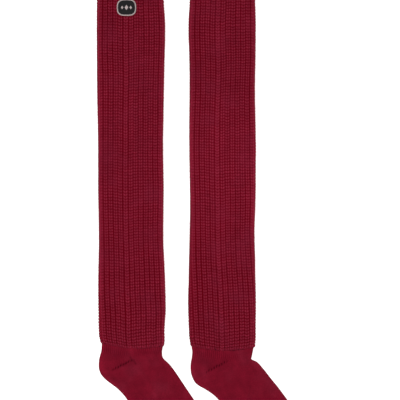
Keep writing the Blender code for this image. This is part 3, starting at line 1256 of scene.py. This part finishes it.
@dataclass
class Badge:
    """A plain sewn badge: black twill, a raised pale edge and a row of three diamonds.

    Each diamond is given by the place of its middle across the badge and its half width.
    """

    plan: SockPlan
    thread: Material
    twill: Material
    centre: Point = (-8.2, 506.0)
    width: float = 29.0
    height: float = 25.0
    power: float = 3.0
    edge: float = 1.9
    base: float = 7.5
    edge_rise: float = 1.5
    ground_rise: float = 0.95
    stitches: int = 132
    diamonds: tuple[Point, ...] = ((-6.4, 2.0), (0.0, 2.9), (6.4, 2.0))
    diamond_stitches: int = 13
    diamond_rise: float = 0.55

    def rounded(self, turn: Array, inset: Array | float) -> tuple[Array, Array]:
        """Place points on the badge's superellipse.

        Args:
            turn: The ellipse's parameter, 0 to a full turn.
            inset: How far in from the badge's outline, in millimetres.

        Returns:
            Places across and along, in millimetres from the badge's centre.
        """
        cos, sin = np.cos(turn), np.sin(turn)
        wide = np.sign(cos) * np.abs(cos) ** (2 / self.power)
        high = np.sign(sin) * np.abs(sin) ** (2 / self.power)
        return wide * (self.width / 2 - inset), high * (self.height / 2 - inset)

    def mesh_of(
        self, part: str, x: Array, y: Array, z: Array, wrap_rows: bool, wrap_columns: bool
    ) -> Mesh:
        """Make the mesh of a grid given in millimetres.

        Args:
            part: The part's word in the mesh's name.
            x: Places across, from the badge's centre.
            y: Places along, from the badge's centre.
            z: Heights over the table.
            wrap_rows: Whether the last row joins the first.
            wrap_columns: Whether the last column joins the first.

        Returns:
            The mesh, in the frame's metres.
        """
        points = np.stack([x + self.centre[0], y + self.centre[1], z], -1) * MM
        points[..., :2] += self.plan.ankle
        return grid_mesh(f"{self.plan.name}_badge_{part}", points, wrap_rows, wrap_columns)

    def build_edge(self) -> Piece:
        """Build the edge: a half-round band whose height ripples with each stitch."""
        dense = np.linspace(0.0, FULL_TURN, 4001)
        steps = np.hypot(*np.diff(self.rounded(dense, self.edge / 2), axis=1))
        reach = np.concatenate([[0.0], np.cumsum(steps)]) / steps.sum()
        share = np.linspace(0.0, 1.0, self.stitches * 4, endpoint=False)
        share, arc = np.meshgrid(share, np.linspace(0.0, math.pi, 9), indexing="ij")
        ripple = np.abs(np.cos(math.pi * share * self.stitches + arc * 0.6)) ** 0.7
        rise = self.edge_rise * (0.72 + 0.28 * ripple)
        x, y = self.rounded(np.interp(share, reach, dense), self.edge / 2 * (1 - np.cos(arc)))
        mesh = self.mesh_of("stitching", x, y, self.base + rise * np.sin(arc), True, True)
        # Painted shade between the stitches.
        add_values(mesh, "painted_shade", 1 - ripple)
        close_mesh(mesh)
        return add_piece(mesh, self.thread)

    def build_ground(self) -> Piece:
        """Build the ground cloth: a slightly domed disc with a thin rim, closed below."""
        turns = np.linspace(0.0, FULL_TURN, 96, endpoint=False)
        reach = np.array([0.0, 0.2, 0.4, 0.6, 0.8, 0.93, 1.0, 1.0, 0.5, 0.0])
        height = np.array([0.25, 0.25, 0.22, 0.18, 0.1, 0.0, -0.1, -0.9, -0.9, -0.9])
        turn, share = np.meshgrid(turns, reach)
        rise = np.repeat(height[:, None], len(turns), 1)
        x, y = self.rounded(turn, self.edge * 0.75)
        z = self.base + self.ground_rise + rise
        mesh = self.mesh_of("cloth", x * share, y * share, z, False, True)
        close_mesh(mesh)
        return add_piece(mesh, self.twill)

    def build_motif(self) -> Piece:
        """Build the diamonds of close satin stitches in a row across the ground."""
        run, side = np.meshgrid(
            np.linspace(-1.0, 1.0, self.diamond_stitches * 6 + 1),
            np.linspace(-1.0, 1.0, 9),
            indexing="ij",
        )
        ridge = np.abs(np.cos(math.pi * self.diamond_stitches * (run + 1) / 2)) ** 0.6
        reach = np.maximum(1 - np.abs(run), 0.02)
        dome = np.sqrt(np.clip(1 - side**2, 0.0, 1.0)) * (0.7 + 0.3 * ridge) * reach**0.4
        z = self.base + self.ground_rise + 0.1 + self.diamond_rise * dome
        work = bmesh.new()
        for middle, half in self.diamonds:
            x, y = middle + run * half, side * reach * half * 1.5
            mesh = self.mesh_of("diamond", x, y, z, False, False)
            # Painted shade between the satin stitches.
            add_values(mesh, "painted_shade", 1 - ridge)
            work.from_mesh(mesh)
            bpy.data.meshes.remove(mesh)
        rim = [edge for edge in work.edges if edge.is_boundary]
        bmesh.ops.holes_fill(work, edges=rim, sides=0)
        bmesh.ops.recalc_face_normals(work, faces=work.faces)
        mesh = bpy.data.meshes.new(self.plan.name + "_badge_diamonds")
        work.to_mesh(mesh)
        work.free()
        return add_piece(mesh, self.thread)


class Lamp(NamedTuple):
    """A square soft lamp: its place from the photo's middle, side and power."""

    name: str
    offset: tuple[float, float, float]
    side: float
    power: float


@dataclass
class Studio:
    """White table, soft light from all over and the camera straight above."""

    table_side: float = 40.0
    table_drop: float = 0.3 * MM
    lens: float = 85.0
    sensor: float = 36.0
    focus_height: float = 7 * MM
    sky: float = 0.4
    lamps: tuple[Lamp, ...] = (
        Lamp("key", (-0.45, 0.3, 1.4), 0.9, 13.2),
        Lamp("fill", (0.9, -0.7, 1.4), 1.2, 7.0),
    )

    def build_table(self) -> None:
        """Lay the white table just under the socks."""
        line = np.linspace(-self.table_side / 2, self.table_side / 2, 3)
        x, y = np.meshgrid(line, line, indexing="ij")
        mesh = grid_mesh("white_table", np.stack([x, y, np.full_like(x, -self.table_drop)], -1))
        table = add_piece(mesh, TableFinish("table_white", 0.6).material())
        close_mesh(mesh)
        if mesh.polygons[0].normal.z < 0:
            mesh.flip_normals()

    def build_light(self, middle: Array) -> None:
        """Set an even sky, a large soft lamp high at the upper left, and a weak fill.

        Args:
            middle: The photo's middle on the table, in metres.
        """
        world = bpy.data.worlds.new("soft_sky")
        bpy.context.scene.world = world
        world.use_nodes = True
        sky = world.node_tree.nodes["Background"]
        sky.inputs["Color"].default_value = (1.0, 1.0, 1.0, 1.0)
        sky.inputs["Strength"].default_value = self.sky
        for lamp in self.lamps:
            light = bpy.data.lights.new(lamp.name, "AREA")
            light.shape = "SQUARE"
            light.size = lamp.side
            light.energy = lamp.power
            holder = bpy.data.objects.new(lamp.name, light)
            holder.location = middle + np.array(lamp.offset)
            x, y, z = lamp.offset
            yaw = math.atan2(-y, -x) - math.pi / 2
            holder.rotation_euler = (math.atan2(math.hypot(x, y), z), 0.0, yaw)
            bpy.context.scene.collection.objects.link(holder)

    def build_camera(self, middle: Array) -> None:
        """Look straight down on the middle of the photo's frame.

        Args:
            middle: The photo's middle on the table, in metres.
        """
        data = bpy.data.cameras.new("camera")
        data.lens = self.lens
        data.sensor_width = self.sensor
        camera = bpy.data.objects.new("camera", data)
        distance = PHOTO_SIDE * PHOTO_PIXEL * self.lens / self.sensor
        camera.location = (middle[0], middle[1], distance + self.focus_height)
        bpy.context.scene.collection.objects.link(camera)
        bpy.context.scene.camera = camera

    def build_tone(self) -> None:
        """Show colours as they are."""
        view = bpy.context.scene.view_settings
        view.view_transform = "Standard"
        view.look = "None"


# Where the left sock's ankle point and the right one's lie in the photo, in pixels.
LEFT_ANKLE = (132, 345)
RIGHT_ANKLE = (222.8, 348)

LEFT_SOCK = SockPlan(
    side=SockSide.LEFT,
    leg_rows=(
        LegRow(541.5, -51.6, 46.5), LegRow(517.5, -52.1, 47), LegRow(481.5, -52.6, 49.2),
        LegRow(427.5, -52.4, 48.3), LegRow(367.5, -51.8, 47.2), LegRow(307.5, -50.6, 46.2),
        LegRow(232.5, -50.4, 47), LegRow(157.5, -49.5, 46.6), LegRow(85.5, -50.5, 49.4),
        LegRow(49.5, -49.9, 50), LegRow(19.5, -49.2, 48.3), LegRow(9, -48.1, 48.5, 3),
        LegRow(2.2, -46.1, 47.4, 4.9),
    ),
    heel_rows=(
        EdgeRow(-45.1, -7.5, 45, -9.8), EdgeRow(-47.4, -17.2, 44.9, -14.2),
        EdgeRow(-48.8, -27, 45.5, -18), EdgeRow(-48.6, -36.8, 46.8, -21),
        EdgeRow(-45.1, -45.9, 48.9, -23.1), EdgeRow(-39, -52.8, 51.3, -25.2),
        EdgeRow(-30.6, -59.2, 54, -27.8), EdgeRow(-22.5, -65, 57.1, -31),
        EdgeRow(-11.1, -76.5, 66, -43), EdgeRow(-4.5, -86.2, 73.5, -54.3),
    ),
    heel_corner=(-48, -39),
    foot_angle=33.7,
    rib_turns=(
        (0, 0.5), (196, 0.51), (240, 0.46), (331, 0.43), (421, 0.55), (466, 0.61),
        (511, 0.86), (545, 0.95),
    ),
    # Painted light along the leg, lighter in the middle than at the ends.
    painted_leg_light=(
        (0, 0.9), (60, 0.91), (130, 0.95), (190, 0.98), (260, 0.98), (350, 1.02),
        (440, 1.03), (500, 1.03), (545, 0.99),
    ),
    grooves=(0.85, 1.15, 0.9, 0.95, 0.75, 1, 0.95, 0.72, 0.8, 0.92, 0.8, 0.84, 0.95, 0.85),
    plain_split=0.48,
    plain_round=0.62,
    sag=5.5,
    band=13,
    rib_gap=Crease((-4, 4), (2, -18), 0.8, 7),
    rib_trace=Crease((-28, -29), (-12, -25), 0.5, 5),
    heel_line=StitchLine((-28.7, -37.4), (-1.5, -24), 8, 66, radius=0.95),
    stitch_seed=5,
    swell=Unevenness(0.35, 45, 31),
    # Crease tones are painted light along ridges and painted shade along troughs.
    creases=(
        Crease((-27, -16.5), (-3, -15), -0.6, 7, -0.13),
        Crease((-24, -34), (-2, -22), -0.6, 3, -0.06),
        Crease((-3.8, -18), (1.5, -25.5), -0.6, 1.2, -0.3),
        Crease((2.3, -22.5), (6, -30), -0.5, 1.2, -0.25),
        Crease((-3, 2), (3, -18), 0.5, 5, 0.12),
        Crease((14, -14), (18, -40), 0.5, 7, 0.04),
        Crease((20, -46), (44, -84), 0.8, 7, 0.05),
        Crease((26, -32), (30, -40), -0.5, 5, -0.06),
        Crease((33, -12), (43, -14), -0.4, 4, -0.06),
        Crease((-4, -57), (8, -66), -0.6, 6, -0.07),
        Crease((42, -52), (60, -66), -0.6, 6, -0.10),
        Crease((-47, -2), (-46, -16), 0.3, 5, 0.08),
        Crease((-47, -18), (-42, -44), 0.6, 5, 0.18),
        Crease((-38, -8), (-36, -26), -0.4, 6, -0.05),
        Crease((-3, -28), (0, -50), -0.4, 5, -0.10),
        Crease((-42, -41), (-26, -44), 0.6, 3.2, 0.13),
        Crease((-36, -49), (-24, -47.5), 0.4, 1.6, 0.06),
        Crease((-30, -52), (-5, -58), -0.6, 4.5, -0.10),
        Crease((-49, 108), (-48, 5), 0.4, 5, 0.12),
        Crease((-38, 505), (-36, 455), -0.4, 14, -0.05),
        Crease((20, 515), (22, 430), 0.4, 12, 0.05),
        Crease((-48, 440), (-44, 422), 0.4, 8, 0.08),
        Crease((-42, 300), (-40, 245), -0.4, 16, -0.06),
        Crease((38, 295), (40, 240), 0.4, 12, 0.07),
        Crease((30, 215), (32, 170), 0.4, 12, 0.05),
        Crease((44, 140), (44, 70), 0.4, 10, 0.05),
        Crease((-16, 24), (2, 12), 0.3, 8, 0.04),
    ),
)
RIGHT_SOCK = SockPlan(
    side=SockSide.RIGHT,
    leg_rows=(
        LegRow(543, -49.2, 48.1), LegRow(522, -49.2, 48.3), LegRow(486, -51, 48.9),
        LegRow(432, -49.5, 48.6), LegRow(396, -49.4, 48), LegRow(312, -49.7, 49.3),
        LegRow(216, -48.6, 48.6), LegRow(174, -49.1, 47.2), LegRow(126, -50.2, 48.6),
        LegRow(72, -51.6, 49.3), LegRow(30, -50.4, 49.2), LegRow(12, -49.2, 48.8, 1.5),
        LegRow(2.1, -47.2, 47.7, 1.8),
    ),
    heel_rows=(
        EdgeRow(-44.9, -6.8, 44.8, -8.2), EdgeRow(-45.5, -14.2, 43.8, -13.8),
        EdgeRow(-46.8, -21.8, 43.2, -17.4), EdgeRow(-47.2, -29.2, 46.4, -19.2),
        EdgeRow(-46.8, -36.8, 50.1, -20.8), EdgeRow(-44.7, -45, 53.7, -23.7),
        EdgeRow(-41.2, -51.9, 56.7, -26.8), EdgeRow(-34.4, -57.8, 59.7, -30.5),
        EdgeRow(-26.2, -62.2, 63, -34.3), EdgeRow(-11.4, -72.2, 72.9, -47.1),
        EdgeRow(-5.4, -78.5, 79.8, -55.5),
    ),
    heel_corner=(-45.5, -42),
    foot_angle=37,
    rib_turns=(
        (0, 0.62), (148, 0.6), (238, 0.36), (283, 0.39), (328, 0.5), (373, 0.66),
        (418, 0.8), (463, 1.18), (508, 1.39), (545, 1.42),
    ),
    # Painted light along the leg, lighter in the middle than at the ends.
    painted_leg_light=(
        (0, 0.96), (100, 0.95), (145, 0.97), (190, 1.04), (250, 1.08), (330, 1.08),
        (390, 1.05), (490, 1.02), (545, 0.96),
    ),
    grooves=(0.9, 1.1, 0.95, 0.78, 0.84, 0.78, 0.8, 0.74, 0.78, 0.86, 0.78, 0.78, 1.05, 0.9),
    plain_split=0.38,
    plain_round=0.74,
    sag=6,
    band=19,
    rib_gap=Crease((4, -4), (46, -8), 0.9, 9),
    rib_trace=Crease((-28, -14), (-4, -12), 0.6, 7),
    heel_line=StitchLine((-24.5, -36.8), (6.3, -20.3), 9, 76),
    stitch_seed=6,
    swell=Unevenness(0.35, 45, 37),
    # Crease tones are painted light along ridges and painted shade along troughs.
    creases=(
        Crease((-27, -22), (-10, -24), -0.5, 6, -0.08),
        Crease((-22, -33), (2, -21), -0.6, 3, -0.06),
        Crease((-10, -36.8), (1.8, -31.5), -0.4, 1.5, -0.08),
        Crease((46, -18.4), (30, -15.5), -0.9, 1.8, -0.03),
        Crease((12, -3), (36, -6), -0.5, 4, -0.13),
        Crease((-38, -22), (-16, -28), -0.5, 6, -0.13),
        Crease((-8, -11), (1, -16), 0.4, 4, 0.08),
        Crease((-2.5, 0), (-2.5, -9), 0.5, 1.8, 0.14),
        Crease((58, -36), (72, -56), -0.4, 6, -0.06),
        Crease((20, -24), (46, -34), 0.7, 7, 0.02),
        Crease((-33, -44), (-25, -54), 0.7, 5, 0.16),
        Crease((2, -43), (14, -53), -0.5, 6, -0.05),
        Crease((36, -53), (44, -62), -0.4, 4, -0.05),
        Crease((46, -57), (52, -62), 0.4, 3, 0.05),
        Crease((-44, 432), (-42, 385), -0.4, 14, -0.06),
        Crease((-10, 315), (-6, 278), 0.4, 12, 0.06),
        Crease((45, 262), (45, 180), 0.5, 12, 0.12),
        Crease((-48, 170), (-48, 20), 0.5, 8, 0.10),
        Crease((8, 80), (24, 66), -0.4, 8, -0.06),
        Crease((-22, 42), (-12, 28), -0.4, 7, -0.06),
        Crease((12, 30), (46, 26), 0.3, 10, 0.04),
        Crease((-48, 10), (-46, -16), 0.3, 4.5, 0.12),
    ),
)


def place_socks() -> tuple[SockPlan, SockPlan]:
    """Find each sock's ankle point from the left leg's box in the frame.

    Returns:
        The two plans with their ankle points, in metres.
    """
    low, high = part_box("left_leg")
    widest = min(row.back for row in LEFT_SOCK.leg_rows)
    left = np.array([low[0] - widest * MM, high[1] - LEFT_SOCK.leg_rows[0].height * MM])
    step = np.array([RIGHT_ANKLE[0] - LEFT_ANKLE[0], LEFT_ANKLE[1] - RIGHT_ANKLE[1]])
    right = left + step * PHOTO_PIXEL
    return replace(LEFT_SOCK, ankle=left), replace(RIGHT_SOCK, ankle=right)


def frame_middle(left_ankle: Array) -> Array:
    """Find the photo's middle on the table.

    Args:
        left_ankle: The left sock's ankle point, in metres.

    Returns:
        The middle, in metres.
    """
    across = (PHOTO_SIDE / 2 - LEFT_ANKLE[0]) * PHOTO_PIXEL
    up = (LEFT_ANKLE[1] - PHOTO_SIDE / 2) * PHOTO_PIXEL
    return np.array([left_ankle[0] + across, left_ankle[1] + up, 0.0])


def build_sock(plan: SockPlan, rib_wool: Material, jersey: Material) -> None:
    """Build one sock's leg and foot, attach them, and hide the frame's parts they replace.

    Args:
        plan: The sock's plan.
        rib_wool: The leg's material.
        jersey: The foot's material.
    """
    leg = RibbedLeg(plan, rib_wool).build()
    foot = FineFoot(plan, jersey).build()
    for piece, node, slot in ((leg, "_leg", "rib_wool"), (foot, "_foot", "foot_wool")):
        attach(piece, "root")
        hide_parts(plan.name + node)


def build_badge(plan: SockPlan) -> None:
    """Build the badge on one sock, attach its pieces, and hide the frame's badge parts.

    Args:
        plan: The plan of the sock that bears the badge.
    """
    # The thread's own colour, and a darker colour for painted shade between stitches.
    thread = ThreadFinish("badge_thread", (196, 180, 178), (118, 104, 104)).material()
    twill = TwillFinish("badge_cloth", (27, 27, 28), (8, 8, 9)).material()
    badge = Badge(plan, thread, twill)
    edge, ground, motif = badge.build_edge(), badge.build_ground(), badge.build_motif()
    for piece, slot in ((edge, "badge_thread"), (ground, "badge_cloth"), (motif, "badge_thread")):
        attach(piece, "root")
    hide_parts(plan.name + "_badge_edge")
    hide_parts(plan.name + "_badge_ground")


def main() -> None:
    """Build the pair, the table, the light and the camera."""
    logging.basicConfig(level=logging.INFO, format="%(message)s")
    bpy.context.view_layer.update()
    left, right = place_socks()
    studio = Studio()
    middle = frame_middle(left.ankle)
    studio.build_camera(middle)
    studio.build_tone()
    # Leg wool: a crest colour with a painted highlight, a painted shade colour for the grooves, and a
    # purple cast.
    rib_wool = RibWool("rib_wool", (170, 46, 71), (113, 0, 19), (150, 43, 71)).material()
    # Foot wool: its own colour, a painted shade colour for the rib's valleys and the eyelets, and a
    # purple cast.
    jersey = JerseyWool(
        "foot_wool",
        (117, 18, 37),
        (60, 0, 8),
        (137, 43, 64),
        fibre_scale=1800.0,
        mottle=0.42,
        relief=0.5,
    ).material()
    build_sock(left, rib_wool, jersey)
    build_sock(right, rib_wool, jersey)
    build_badge(left)
    studio.build_table()
    studio.build_light(middle)


if __name__ == "__main__":
    main()
